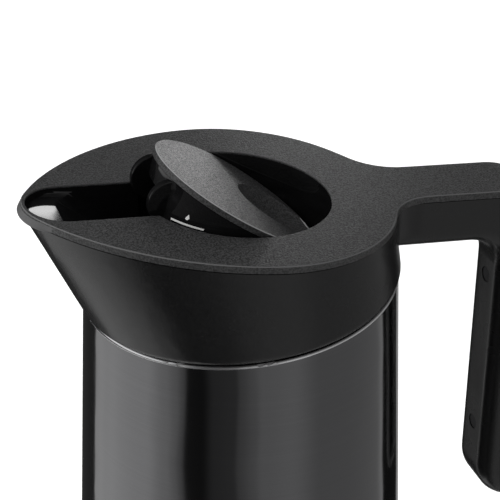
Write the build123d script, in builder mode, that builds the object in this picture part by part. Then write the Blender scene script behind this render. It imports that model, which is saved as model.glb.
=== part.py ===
# Thermal carafe with a rocker-operated stopper, a slanted collar with spout, and a cantilever handle.
# Millimetres. +Z is up, the spout points to -X and the handle to +X. The origin is the middle of
# the flat foot. The rocker stands open, its front raised, as the thumb holds it for pouring.

import os
from math import atan2, cos, degrees, radians, sin, sqrt, tan

from build123d import *

os.makedirs("parts", exist_ok=True)

# Body
top_height = 223.74  # where the top face meets the middle axis
collar_height = 33.74  # from the upper edge of the jacket to the top face, on the middle axis
rim_radius = 56.0
rim_slant = 4.92  # degrees, rising to the handle
body_taper = 2.765  # degrees, wider to the foot
jacket_wall = 0.6
jacket_bottom = 8.0
bead_radius = 0.7

# Top plate
top_slant = 5.80  # degrees, rising to the spout
plate_wall = 2.7
plate_edge = 0.45
rear_centre = 0.57
rear_radius = 53.93
nose_tip = 77.3
nose_radius = 18.41
flank_radius = 94.69
lip_start = 0.8
lip_depth = 3.7
lip_radius = 16.7
lip_flare = 1.5
lip_round = 0.7
lip_length = 13.0

# Hole, well and pour channel
hole_shift = -2.41
hole_play = 1.52  # between disc and hole
slot_half = 13.2
slot_tip = 75.65
slot_corner = 7.0
ledge_depth = 2.8  # floor of the spout at its tip, below the top face
ledge_slope = 10.0  # degrees
ledge_length = 11.25
ledge_corner = 2.5
channel_wall = 1.5
channel_play = 0.2
well_depth = 25.64
well_floor_wall = 1.6
trough_step = 1.1  # from the floor of the well up to the floor of the trough

# Collar
collar_wall = 2.4
collar_overhang = 1.0
collar_setback = 0.3
collar_round = 3.0
shadow_gap = 0.4
shadow_depth = 0.9
spigot_radius = 53.0
spigot_wall = 2.2
spigot_depth = 8.0
deck_wall = 2.0

# Handle
handle_half = 12.3
handle_root = 46.0
handle_web = 20.0  # plan fillet between plate and handle
grip_inner = 98.3
grip_outer = 124.0
handle_drop = 154.24
shoulder_round = 27.0
crook_round = 14.0
bridge_depth = 22.0
toe_height = 14.5
arm_wall = 3.0
pocket_start = 64.0
arm_round_share = 0.25  # of the grip's depth
toe_outer = 7.0
toe_flat = 0.7

# Vacuum flask
flask_gap = 1.6  # air between jacket and flask
flask_wall = 0.6
flask_foot = 13.0
shoulder_rise = 19.0
shoulder_fillet = 14.0
neck_length = 8.0
neck_bore = 24.0
neck_wall = 0.5
neck_vacuum = 2.1
neck_fillet = 4.0
vacuum_gap = 6.0
inner_bottom = 25.0
inner_corner = 14.0
foil_wall = 0.2
foil_gap = 0.1
foil_margin = 14.0
bottom_lift = 3.0
bottom_play = 0.1
bottom_corner = 1.5
getter_radius = 7.0
getter_height = 3.0
plug_radius = 6.0
plug_height = 1.6
plug_shift = 26.0

# Base
base_lip = 1.2
base_tuck = 0.2
base_play = 0.3
base_floor = 5.4
base_wall = 2.2
spigot_up = 4.6
foot_radius = 54.0
foot_height = 2.6
foot_sink = 1.2
ring_radius = 47.0
ring_width = 6.0
stud_radius = 5.5
screw_radius = 2.5
screw_head = 5.0
screw_head_height = 2.2
stud_roof = 1.5
foot_play = 0.2
foot_edge = 0.6
thread_play = 0.03

# Neck fittings
nut_width = 5.5
nut_height = 3.0
gasket_height = 1.5
gasket_width = 3.2
nut_notch = 2.2
nut_notches = 8
cushion_inner = 31.5
cushion_width = 6.0
neck_play = 0.6

# Stopper
seat_gap = 0.2
flange_wall = 1.9
flange_clearance = 0.7
plug_clearance = 1.5
plug_wall = 1.8
plug_depth = 12.1
plug_floor = 2.0
seal_clearance = 0.3
seal_lift = 3.0
seal_height = 4.0
seal_depth = 0.8
cage_height = 20.0
cage_floor = 2.0
cage_leg = 2.2
cage_legs = 3
cage_leg_angle = 34.0  # degrees
cage_turn = 60.0  # degrees
cage_ring = 4.0
stem_shift = 8.0
stem_radius = 1.8
stem_fit = 0.05
hub_radius = 3.6
hub_lift = 4.0
hub_height = 4.0
spoke_width = 2.0
spoke_sink = 0.5
valve_hole = 8.0
valve_radius = 10.6
valve_wall = 2.0
valve_seal_height = 1.2
valve_seat_gap = 0.3
button_radius = 4.0
button_gap = 0.4
button_skirt = 2.5
spring_radius = 4.2
spring_wire = 0.8
spring_turns = 4
spring_seat = 0.25
spring_guide = 2.6
spring_guide_height = 2.5

# Rocker
disc_radius = 32.2
disc_shift = -3.3
disc_wall = 1.2
disc_rim = 1.1
disc_rim_width = 1.3
disc_edge = 0.4
pivot_sink = 3.0
pivot_back = 2.2  # pivot behind the middle of the disc
open_angle = 26.7  # degrees, from closed
fold_angle = 2.0  # degrees, by which the rear half falls away behind the fold
dish_centre = 14.4
dish_radius = 14.9
dish_depth = 5.2
cap_play = 0.1
skirt_inset = 0.5
skirt_draft = 16.0  # degrees
skirt_depth = 14.0
skirt_rear_depth = 8.0
skirt_wall = 1.8
step_play = 0.3
skirt_groove = 0.3
swing_clearance = 0.5
web_depth = 6.0
web_wall = 1.5
floor_clearance = 0.6
cheek_gap = 1.9
cheek_wall = 2.55
cheek_inset = 4.35
cheek_centre_drop = 7.0
cheek_radius = 8.17
cheek_round = 0.5
cheek_root = 9.0
pin_radius = 1.1
pin_fit = 0.05
pin_inset = 2.1
ear_inner = 21.6
ear_wall = 2.4
ear_half = 3.0
ear_cover = 0.4
ear_clearance = 0.5
boss_radius = 2.4

# Screws
collar_screw_gap = 3.28  # between the well and the screw bosses
collar_screw_angle = 45.0  # degrees
collar_screw_radius = 1.5
collar_screw_head = 2.8
collar_screw_head_height = 1.8
collar_screw_length = 16.0
collar_boss = 4.0
handle_screw_rises = (34.5, 102.5)  # above the end of the grip
handle_screw_gap = 4.0
handle_boss = 4.0
handle_screw_radius = 1.5
handle_screw_head = 2.8
handle_screw_head_height = 1.7
head_sink = 2.0
screw_play = 0.2

# Derived sizes
tilt = radians(top_slant)
taper = tan(radians(body_taper))
rim_tilt = radians(rim_slant)
rim_height = top_height - collar_height
slot_centre = slot_half - slot_tip
hole_radius = disc_radius + hole_play
pin_end = disc_radius - pin_inset
cheek_centre_back = disc_radius - cheek_inset
collar_screw_circle = hole_radius + channel_wall + collar_screw_gap + collar_boss
well_floor = top_height - well_depth
trough_start = well_floor + trough_step
grip_bottom = top_height - handle_drop
cover_bottom = grip_bottom + toe_height
cover_line = grip_outer - plate_wall
grip_depth = grip_outer - grip_inner
toe_inner = grip_depth - toe_outer - toe_flat
arm_round = arm_round_share * grip_depth
bend_start = grip_outer - shoulder_round
band_start = bend_start - crook_round
neck_top = well_floor - well_floor_wall - gasket_height
neck_height = neck_top - neck_length
shoulder_height = neck_height - shoulder_rise
deck_top = neck_top - nut_height
deck_bottom = deck_top - deck_wall
spigot_bottom = deck_bottom - spigot_depth
plug_bottom = well_floor - plug_depth
seal_bottom = plug_bottom + seal_lift
hub_bottom = plug_bottom + hub_lift
cage_bottom = plug_bottom - cage_height
neck_outer = neck_bore + neck_wall + neck_vacuum + flask_wall

# The plate's outline: where its four tangent arcs have their middles and meet
nose_x = nose_radius - nose_tip
reach_rear = flank_radius - rear_radius
reach_nose = flank_radius - nose_radius
nose_span = rear_centre - nose_x
flank_x = rear_centre - (reach_rear**2 - reach_nose**2 + nose_span**2) / (2 * nose_span)
flank_y = sqrt(reach_rear**2 - (rear_centre - flank_x) ** 2)
rear_angle = degrees(atan2(flank_y, rear_centre - flank_x))
nose_angle = degrees(atan2(flank_y, nose_x - flank_x))

side = Plane.XZ


def leaning(origin, angle):
    """Plane through a point on the middle plane, its x along the slope, falling to +X by an angle."""
    return Plane(origin, x_dir=(cos(angle), 0, -sin(angle)), z_dir=(sin(angle), 0, cos(angle)))


top_face = leaning((0, 0, top_height), tilt)
rim_face = leaning((0, 0, rim_height), -rim_tilt)
plate_under = top_face.offset(-plate_wall)


def body_radius(z):
    """Outer radius of the jacket at a height."""
    return rim_radius + (rim_height - z) * taper


def top_z(x, depth=0.0):
    """Height at x of the slanted top face, or of a face that lies a depth below it."""
    return top_height - x * tan(tilt) - depth / cos(tilt)


def plate_outline(inset):
    """Rear arc, flank, nose arc and flank of the plate, drawn inside its edge by an inset."""
    rear = rear_radius - inset
    nose = nose_radius - inset
    flank = flank_radius - inset
    CenterArc((rear_centre, 0), rear, -rear_angle, 2 * rear_angle)
    CenterArc((flank_x, -flank_y), flank, rear_angle, nose_angle - rear_angle)
    CenterArc((nose_x, 0), nose, nose_angle, 360 - 2 * nose_angle)
    CenterArc((flank_x, flank_y), flank, 360 - nose_angle, nose_angle - rear_angle)


def plate_sketch(plane, inset=0.0, length=0.0, sink=0.0):
    """Plate outline on a plane, drawn further in by a sink, with the handle running out to a length."""
    with BuildSketch(plane) as sketch:
        with BuildLine():
            plate_outline(inset + sink)
        make_face()
        if length:
            half = handle_half - inset
            with Locations(((handle_root + length) / 2, 0)):
                Rectangle(length - handle_root, 2 * half)
            joint = rear_centre + sqrt((rear_radius - inset - sink) ** 2 - half**2)
            fillet(sketch.vertices().sort_by_distance((joint, 0, 0))[:2], handle_web + inset)
    return sketch.sketch


def rim_sketch(plane, radius):
    """Circle on a plane, split where the plate's outline is, so that a loft between them stays straight."""
    rear = radians(rear_angle)
    nose = radians(nose_angle)
    first = degrees(atan2(rear_radius * sin(rear), rear_centre + rear_radius * cos(rear)))
    second = degrees(atan2(nose_radius * sin(nose), nose_x + nose_radius * cos(nose)))
    with BuildSketch(plane) as sketch:
        with BuildLine():
            CenterArc((0, 0), radius, -first, 2 * first)
            CenterArc((0, 0), radius, first, second - first)
            CenterArc((0, 0), radius, second, 360 - 2 * second)
            CenterArc((0, 0), radius, 360 - second, second - first)
        make_face()
    return sketch.sketch


def collar_form(inset, lift=0.0):
    """Straight-sided form between the slanted rim and the underside of the plate."""
    with BuildPart() as form:
        add(rim_sketch(rim_face.offset(lift), rim_radius + collar_overhang - inset))
        add(plate_sketch(plate_under, collar_setback + inset))
        loft(ruled=True)
    return form.part


def side_block(half, *corners, view=side):
    """Block with a half width to each side of the middle, from the x, z and radius of its corners."""
    with BuildPart() as block:
        with BuildSketch(view.offset(-half)):
            with BuildLine():
                FilletPolyline([(x, z) for x, z, _ in corners], radius=[r for _, _, r in corners], close=True)
            make_face()
        extrude(amount=2 * half)
    return block.part


def wall_section(points, radii, wall):
    """Section of a sheet wall: a line with rounded corners, thickened on its left."""
    with BuildSketch(side) as section:
        with BuildLine():
            FilletPolyline(*points, radius=radii)
            offset(amount=wall, side=Side.LEFT)
        make_face()
    return section.sketch


def save(part, label):
    """Name a finished piece and write it."""
    part.label = label
    export_step(part, f"parts/{label}.step")


# Hollow of the trough and the well, which the plate and the channel share

trough_tip = Vector(-slot_tip, 0, top_z(-slot_tip, ledge_depth))
trough_crease = trough_tip + Vector(ledge_length, 0, -ledge_length * tan(radians(ledge_slope)))
trough_back = Vector(hole_shift - hole_radius, 0, trough_start)


def trough_run(start, end, corner, growth):
    """Straight run of the trough between two points of its floor, open at its top, grown by a wall."""
    run_axis = (end - start).normalized()
    with BuildPart() as run:
        with BuildSketch(Plane(start - run_axis * slot_half, x_dir=(0, 1, 0), z_dir=run_axis)) as section:
            with Locations((0, -growth)):
                Rectangle(2 * (slot_half + growth), top_height, align=(Align.CENTER, Align.MIN))
            fillet(section.vertices().sort_by(Axis.Y)[:2], corner + growth)
        extrude(amount=(end - start).length + 2 * slot_half)
    return run.part


def trough_form(growth, floor):
    """Ledge of the spout and chute behind it, with a round front end, grown by a wall, down to a floor."""
    half = slot_half + growth
    with BuildPart() as form:
        add(trough_run(trough_tip, trough_crease, ledge_corner, growth))
        add(trough_run(trough_crease, trough_back, slot_corner, growth))
        with BuildSketch(Plane.XY.offset(floor)):
            with Locations((slot_centre / 2, 0)):
                Rectangle(-slot_centre, 2 * half)
            with Locations((slot_centre, 0)):
                Circle(half)
        extrude(amount=2 * top_height, mode=Mode.INTERSECT)
    return form.part


def well_form(growth, floor):
    """Round well below the hole, down to a floor."""
    with BuildPart() as form:
        with BuildSketch(Plane.XY.offset(floor)):
            with Locations((hole_shift, 0)):
                Circle(hole_radius + growth)
        extrude(amount=top_height - floor + hole_radius)
    return form.part


channel_hollow = trough_form(0, well_floor) + well_form(0, well_floor)

# Outer jacket: conical sheet, cut at the slant, with a rolled bead along its upper edge

with BuildPart() as outer_jacket:
    with BuildSketch(side):
        with BuildLine():
            Polyline(
                (body_radius(jacket_bottom), jacket_bottom),
                (body_radius(top_height), top_height),
                (body_radius(top_height) - jacket_wall, top_height),
                (body_radius(jacket_bottom) - jacket_wall, jacket_bottom),
                close=True,
            )
        make_face()
    revolve(axis=Axis.Z)
    split(bisect_by=rim_face.offset(-bead_radius), keep=Keep.BOTTOM)
    with BuildSketch(Plane(rim_face.origin, x_dir=rim_face.x_dir, z_dir=-rim_face.y_dir)):
        with Locations((rim_radius - bead_radius, -bead_radius)):
            Circle(bead_radius)
    revolve(axis=Axis(rim_face.origin, rim_face.z_dir))
save(outer_jacket.part, "outer_jacket")

# Spout lip: round the nose the plate's edge flares outwards and is deeper than elsewhere

with BuildPart() as spout_lip:
    with BuildSketch(top_face.offset(-lip_start)):
        with Locations((nose_x, 0)):
            Circle(nose_radius)
    with BuildSketch(top_face.offset(-lip_depth)):
        with Locations((lip_radius - nose_tip - lip_flare, 0)):
            Circle(lip_radius)
    loft(ruled=True)
    lowest = spout_lip.edges().filter_by(lambda e: top_face.to_local_coords(e @ 0.5).Z < -2 * lip_start)
    fillet(lowest, lip_round)
    add(collar_form(collar_wall), mode=Mode.SUBTRACT)
    lip_front = -nose_tip - 2 * lip_flare
    lip_back = lip_length - nose_tip
    lip_wedge = side_block(
        nose_radius + lip_length,
        (lip_front, top_z(lip_front), 0),
        (lip_back, top_z(lip_back), 0),
        (lip_back, top_z(lip_back, plate_wall), 0),
        (-nose_tip, top_z(-nose_tip, lip_depth), 0),
        (lip_front, top_z(lip_front, lip_depth), 0),
    )
    add(lip_wedge, mode=Mode.INTERSECT)

# Collar: slanted shell under the plate, with a spigot inside the jacket and a deck round the neck,
# and the arm of the handle, whose back is open for the cover

arm_half = handle_half - collar_setback

arm_block = side_block(
    arm_half,
    (handle_root, top_z(handle_root, plate_wall), 0),
    (cover_line, top_z(cover_line, plate_wall), shoulder_round - plate_wall),
    (cover_line, cover_bottom, 0),
    (grip_outer, cover_bottom, 0),
    (grip_outer, grip_bottom, toe_outer),
    (grip_inner, grip_bottom, toe_inner),
    (grip_inner, top_z(grip_inner, bridge_depth), crook_round),
    (handle_root, top_z(handle_root, bridge_depth), 0),
)

arm_pocket = side_block(
    arm_half - arm_wall,
    (pocket_start, top_z(pocket_start, plate_wall), 0),
    (cover_line, top_z(cover_line, plate_wall), shoulder_round - plate_wall),
    (cover_line, cover_bottom + arm_wall, 0),
    (grip_inner + arm_wall, cover_bottom + arm_wall, 0),
    (grip_inner + arm_wall, top_z(grip_inner + arm_wall, bridge_depth - arm_wall), crook_round + arm_wall),
    (pocket_start, top_z(pocket_start, bridge_depth - arm_wall), 0),
)

with BuildPart() as arm_web:
    add(plate_sketch(plate_under, collar_setback, grip_inner - crook_round, collar_wall / 2))
    extrude(amount=plate_wall + arm_round - bridge_depth)
    with BuildSketch():
        with Locations((handle_root, 0)):
            Rectangle(grip_outer, grip_outer, align=(Align.MIN, Align.CENTER))
    extrude(amount=2 * top_height, mode=Mode.INTERSECT)

with BuildPart() as handle_arm:
    add(arm_block)
    sides = handle_arm.edges().filter_by(lambda e: abs(abs((e @ 0.5).Y) - arm_half) < 0.01)
    below = sides.filter_by(lambda e: (e @ 0.5).Z < top_z((e @ 0.5).X, bridge_depth - plate_wall))
    finger_side = below.filter_by(lambda e: (e @ 0.5).X < grip_inner + toe_inner)
    fillet(finger_side, arm_round)
    add(arm_web.part)

with BuildPart() as collar:
    add(collar_form(0))
    lower_edge = collar.edges().filter_by(lambda e: abs(rim_face.to_local_coords(e @ 0.5).Z) < 0.01)
    fillet(lower_edge, collar_round)
    add(handle_arm.part)
    with BuildSketch(plate_under):
        Rectangle(2 * grip_inner, 4 * rear_radius)
        add(plate_sketch(Plane.XY, collar_setback + shadow_depth, 2 * grip_inner), mode=Mode.SUBTRACT)
    extrude(amount=-shadow_gap, mode=Mode.SUBTRACT)
    add(collar_form(collar_wall, collar_wall), mode=Mode.SUBTRACT)
    add(spout_lip.part, mode=Mode.SUBTRACT)
    with BuildSketch(Plane.XY.offset(spigot_bottom)):
        Circle(spigot_radius)
    extrude(amount=deck_top + spigot_wall - spigot_bottom)
    with BuildSketch(Plane.XY.offset(spigot_bottom)):
        Circle(spigot_radius - spigot_wall)
    extrude(amount=deck_bottom - spigot_bottom, mode=Mode.SUBTRACT)
    with BuildSketch(Plane.XY.offset(deck_top)):
        Circle(spigot_radius - spigot_wall)
    extrude(amount=top_height - deck_top, mode=Mode.SUBTRACT)
    with Locations((0, 0, deck_top)):
        Hole(neck_outer + neck_play, deck_wall)
    with Locations(Plane.XY.offset(deck_top)):
        with PolarLocations(collar_screw_circle, 4, collar_screw_angle):
            Hole(collar_screw_radius + screw_play)
    add(arm_pocket, mode=Mode.SUBTRACT)
    for rise in handle_screw_rises:
        with Locations(Plane((grip_inner, 0, grip_bottom + rise), x_dir=(0, 1, 0), z_dir=(-1, 0, 0))):
            CounterBoreHole(
                radius=handle_screw_radius + screw_play,
                counter_bore_radius=handle_screw_head + screw_play,
                counter_bore_depth=head_sink,
                depth=arm_wall * 2,
            )
save(collar.part, "collar")

# Top plate: flat plate over well, spout and handle, the lip of the spout and the screw bosses below it

cover_band = side_block(
    handle_half,
    (band_start, top_z(band_start), 0),
    (grip_outer, top_z(grip_outer), shoulder_round),
    (grip_outer, cover_bottom, 0),
    (cover_line, cover_bottom, 0),
    (cover_line, top_z(cover_line, plate_wall), shoulder_round - plate_wall),
    (band_start, top_z(band_start, plate_wall), 0),
)


def bounds_top(edge):
    """Whether an edge runs along the plate's flat top, the bend of the handle or the handle's back."""
    flat = all(abs(top_face.to_local_coords(edge @ part).Z) < 0.01 for part in (0.2, 0.8))
    bend = edge.geom_type == GeomType.CIRCLE and abs(edge.radius - shoulder_round) < 0.01
    back = (edge @ 0.5).X > grip_outer - 0.01
    across = edge.geom_type == GeomType.LINE and abs((edge % 0.5).Y) > 0.99
    return (flat or bend or back) and not across


with BuildPart() as top_plate:
    add(plate_sketch(top_face, 0, (band_start + bend_start) / 2))
    extrude(amount=-plate_wall)
    add(cover_band)
    chamfer(top_plate.edges().filter_by(bounds_top), plate_edge)
    add(spout_lip.part)
    add(channel_hollow, mode=Mode.SUBTRACT)
    for place in PolarLocations(collar_screw_circle, 4, collar_screw_angle):
        boss_top = top_z(place.position.X, plate_wall / 2)
        with BuildSketch(Plane.XY.offset(deck_top)):
            with Locations(place):
                Circle(collar_boss)
                Circle(collar_screw_radius, mode=Mode.SUBTRACT)
        extrude(amount=boss_top - deck_top)
    for rise in handle_screw_rises:
        boss_foot = (grip_inner + arm_wall, 0, grip_bottom + rise)
        with BuildSketch(Plane(boss_foot, x_dir=(0, 1, 0), z_dir=(1, 0, 0))):
            Circle(handle_boss)
            Circle(handle_screw_radius, mode=Mode.SUBTRACT)
        extrude(amount=cover_line + plate_wall / 2 - grip_inner - arm_wall)
save(top_plate.part, "top_plate")

# Pour channel: glossy well under the hole and the trough to the spout, in one moulding

with BuildPart() as pour_channel:
    add(trough_form(channel_wall, well_floor - well_floor_wall))
    add(collar_form(collar_wall + channel_play), mode=Mode.INTERSECT)
    add(well_form(channel_wall, well_floor - well_floor_wall))
    with BuildSketch(plate_under):
        Rectangle(4 * nose_tip, 4 * nose_tip)
    extrude(amount=2 * top_height, mode=Mode.SUBTRACT)
    add(channel_hollow, mode=Mode.SUBTRACT)
    with Locations((0, 0, well_floor)):
        Hole(neck_bore, 2 * well_floor_wall)
save(pour_channel.part, "pour_channel")

# Vacuum flask: outer wall, inner wall with its mouth, bottom, and what sits in the gap

flask_low = body_radius(flask_foot) - jacket_wall - flask_gap
flask_high = body_radius(shoulder_height) - jacket_wall - flask_gap
inner_low = flask_low - flask_wall - vacuum_gap
inner_high = flask_high - flask_wall - vacuum_gap
inner_shoulder = shoulder_height - vacuum_gap / 2
inner_neck = neck_height - vacuum_gap / 2

with BuildPart() as flask_outer_wall:
    add(
        wall_section(
            (
                (flask_low, flask_foot),
                (flask_high, shoulder_height),
                (neck_outer, neck_height),
                (neck_outer, neck_top - neck_wall),
            ),
            (shoulder_fillet, neck_fillet),
            flask_wall,
        )
    )
    revolve(axis=Axis.Z)
save(flask_outer_wall.part, "flask_outer_wall")

with BuildPart() as flask_inner_wall:
    add(
        wall_section(
            (
                (0, inner_bottom),
                (inner_low, inner_bottom),
                (inner_high, inner_shoulder),
                (neck_bore + neck_wall, inner_neck),
                (neck_bore + neck_wall, neck_top - neck_wall),
                (neck_outer, neck_top - neck_wall),
            ),
            (inner_corner, shoulder_fillet, neck_fillet, 0),
            neck_wall,
        )
    )
    revolve(axis=Axis.Z)
save(flask_inner_wall.part, "flask_inner_wall")

with BuildPart() as flask_bottom:
    add(
        wall_section(
            (
                (0, flask_foot + bottom_lift),
                (flask_low - 2 * flask_wall - bottom_play, flask_foot + bottom_lift),
                (flask_low - 2 * flask_wall - bottom_play, flask_foot),
            ),
            (bottom_corner,),
            flask_wall,
        )
    )
    revolve(axis=Axis.Z)
save(flask_bottom.part, "flask_bottom")

bottom_top = flask_foot + bottom_lift + flask_wall

with BuildPart() as getter:
    with Locations((0, 0, bottom_top)):
        Cylinder(getter_radius, getter_height, align=(Align.CENTER, Align.CENTER, Align.MIN))
    fillet(getter.edges().group_by(Axis.Z)[-1], getter_height / 4)
save(getter.part, "getter")

with BuildPart() as vacuum_plug:
    with Locations((plug_shift, 0, flask_foot + bottom_lift)):
        Cylinder(plug_radius, plug_height, align=(Align.CENTER, Align.CENTER, Align.MAX))
    chamfer(vacuum_plug.edges().group_by(Axis.Z)[0], plug_height / 3)
save(vacuum_plug.part, "vacuum_plug")

foil_slope = (inner_low - inner_high) / (inner_shoulder - inner_bottom)
foil_low = inner_bottom + foil_margin
foil_high = inner_shoulder - foil_margin

with BuildPart() as radiation_foil:
    with BuildSketch(side):
        with BuildLine():
            Polyline(
                (inner_low - foil_margin * foil_slope + foil_gap, foil_low),
                (inner_high + foil_margin * foil_slope + foil_gap, foil_high),
                (inner_high + foil_margin * foil_slope + foil_gap + foil_wall, foil_high),
                (inner_low - foil_margin * foil_slope + foil_gap + foil_wall, foil_low),
                close=True,
            )
        make_face()
    revolve(axis=Axis.Z)
save(radiation_foil.part, "radiation_foil")

# Base: stud on the flask, soft ring, plastic cap under the jacket, its screw and the rubber foot

cap_bottom = foot_height - foot_sink
cap_floor_top = cap_bottom + base_floor
flask_under = flask_foot + bottom_lift
spigot_outer = body_radius(jacket_bottom + spigot_up) - jacket_wall - base_play

with BuildPart() as flask_stud:
    with BuildSketch(Plane.XY.offset(cap_floor_top)):
        Circle(stud_radius)
    extrude(amount=flask_under - cap_floor_top)
    with BuildSketch(Plane.XY.offset(cap_floor_top)):
        Circle(screw_radius + thread_play)
    extrude(amount=flask_under - cap_floor_top - stud_roof, mode=Mode.SUBTRACT)
save(flask_stud.part, "flask_stud")

with BuildPart() as support_ring:
    with BuildSketch(Plane.XY.offset(cap_floor_top)):
        Circle(ring_radius)
        Circle(ring_radius - ring_width, mode=Mode.SUBTRACT)
    extrude(amount=flask_under - cap_floor_top)
save(support_ring.part, "support_ring")

with BuildPart() as base_cap:
    with BuildSketch(Plane.XY.offset(cap_bottom)):
        Circle(body_radius(jacket_bottom) - base_tuck)
    extrude(amount=jacket_bottom - cap_bottom)
    chamfer(base_cap.edges().group_by(Axis.Z)[0], base_lip)
    with BuildSketch(Plane.XY.offset(jacket_bottom)):
        Circle(spigot_outer)
    extrude(amount=spigot_up)
    with BuildSketch(Plane.XY.offset(cap_floor_top)):
        Circle(spigot_outer - base_wall)
    extrude(amount=jacket_bottom + spigot_up, mode=Mode.SUBTRACT)
    with BuildSketch(Plane.XY.offset(cap_bottom)):
        Circle(foot_radius + foot_play)
    extrude(amount=foot_sink, mode=Mode.SUBTRACT)
    with Locations(Plane((0, 0, foot_height), z_dir=(0, 0, -1))):
        CounterBoreHole(
            radius=screw_radius + screw_play,
            counter_bore_radius=screw_head + screw_play,
            counter_bore_depth=screw_head_height + screw_play,
            depth=base_floor,
        )
save(base_cap.part, "base_cap")

with BuildPart() as base_screw:
    with BuildSketch(Plane.XY.offset(foot_height + screw_play)):
        Circle(screw_head)
    extrude(amount=screw_head_height)
    with BuildSketch(Plane.XY.offset(foot_height + screw_play)):
        Circle(screw_radius)
    extrude(amount=flask_under - stud_roof - foot_height - 2 * screw_play)
    with BuildSketch(Plane.XY.offset(foot_height + screw_play)):
        RegularPolygon(screw_head / 2, 6)
    extrude(amount=screw_head_height / 2, mode=Mode.SUBTRACT)
save(base_screw.part, "base_screw")

with BuildPart() as foot_pad:
    with BuildSketch():
        Circle(foot_radius)
    extrude(amount=foot_height)
    fillet(foot_pad.edges().group_by(Axis.Z)[0], foot_edge)
save(foot_pad.part, "foot_pad")

# Neck fittings: soft ring on the flask's shoulder, nut over the deck of the collar, seal on the mouth

shoulder_slope = (neck_height - shoulder_height) / (flask_high - neck_outer)
cushion_outer = cushion_inner + cushion_width

with BuildPart() as shoulder_ring:
    with BuildSketch(side):
        with BuildLine():
            Polyline(
                (cushion_inner, shoulder_height + (flask_high - cushion_inner) * shoulder_slope),
                (cushion_outer, shoulder_height + (flask_high - cushion_outer) * shoulder_slope),
                (cushion_outer, deck_bottom),
                (cushion_inner, deck_bottom),
                close=True,
            )
        make_face()
    revolve(axis=Axis.Z)
save(shoulder_ring.part, "shoulder_ring")

with BuildPart() as neck_nut:
    with BuildSketch(Plane.XY.offset(deck_top)):
        Circle(neck_outer + nut_width)
        Circle(neck_outer + thread_play, mode=Mode.SUBTRACT)
        with PolarLocations(neck_outer + nut_width, nut_notches):
            Rectangle(nut_notch, 2 * nut_notch, mode=Mode.SUBTRACT)
    extrude(amount=neck_top - deck_top)
save(neck_nut.part, "neck_nut")

with BuildPart() as neck_gasket:
    with BuildSketch(Plane.XY.offset(neck_top)):
        Circle(neck_bore + gasket_width)
        Circle(neck_bore, mode=Mode.SUBTRACT)
    extrude(amount=gasket_height)
save(neck_gasket.part, "neck_gasket")

# Screws that hold the top plate down on the collar's deck, and the cover on the arm of the handle

with BuildPart() as collar_screws:
    with BuildSketch(Plane.XY.offset(deck_bottom)):
        with PolarLocations(collar_screw_circle, 4, collar_screw_angle):
            Circle(collar_screw_radius - thread_play)
    extrude(amount=collar_screw_length)
    with BuildSketch(Plane.XY.offset(deck_bottom)):
        with PolarLocations(collar_screw_circle, 4, collar_screw_angle):
            Circle(collar_screw_head)
    extrude(amount=-collar_screw_head_height)
save(collar_screws.part, "collar_screws")

with BuildPart() as handle_screws:
    for rise in handle_screw_rises:
        seat_point = (grip_inner + head_sink, 0, grip_bottom + rise)
        screw_seat = Plane(seat_point, x_dir=(0, 1, 0), z_dir=(1, 0, 0))
        with BuildSketch(screw_seat):
            Circle(handle_screw_radius - thread_play)
        extrude(amount=cover_line - handle_screw_gap - seat_point[0])
        with BuildSketch(screw_seat):
            Circle(handle_screw_head)
        extrude(amount=-handle_screw_head_height)
save(handle_screws.part, "handle_screws")

# Where the rocker turns: its frame lies at the pivot, u to the rear along the disc, w square to it

open_tilt = radians(top_slant + open_angle)
pivot_x = disc_shift + pivot_back * cos(tilt) - pivot_sink * sin(tilt)
pivot_z = top_z(disc_shift) - pivot_back * sin(tilt) - pivot_sink * cos(tilt)
rocker_face = leaning((pivot_x, 0, pivot_z), open_tilt)
rocker_side = Plane(rocker_face.origin, x_dir=rocker_face.x_dir, z_dir=(0, -1, 0))
disc_under = pivot_sink - disc_wall
flange_top = well_floor + seat_gap + flange_wall
ear_outer = ear_inner + ear_wall


def button_height(angle):
    """Height of the middle of the valve's button when the rocker's web lies on it at a tilt."""
    reach = web_depth + button_radius + button_gap
    return pivot_z - (reach + (stem_shift - pivot_x) * sin(angle)) / cos(angle)


button_z = button_height(open_tilt)
valve_travel = button_height(tilt) - button_z
seal_top = plug_bottom - valve_seat_gap - valve_travel
valve_bottom = seal_top - valve_seal_height - valve_wall

# Stopper housing: flange in the well, plug in the neck, spider for the stem and ears for the rocker

plug_radius_outer = neck_bore - plug_clearance
plug_radius_inner = plug_radius_outer - plug_wall

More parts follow.
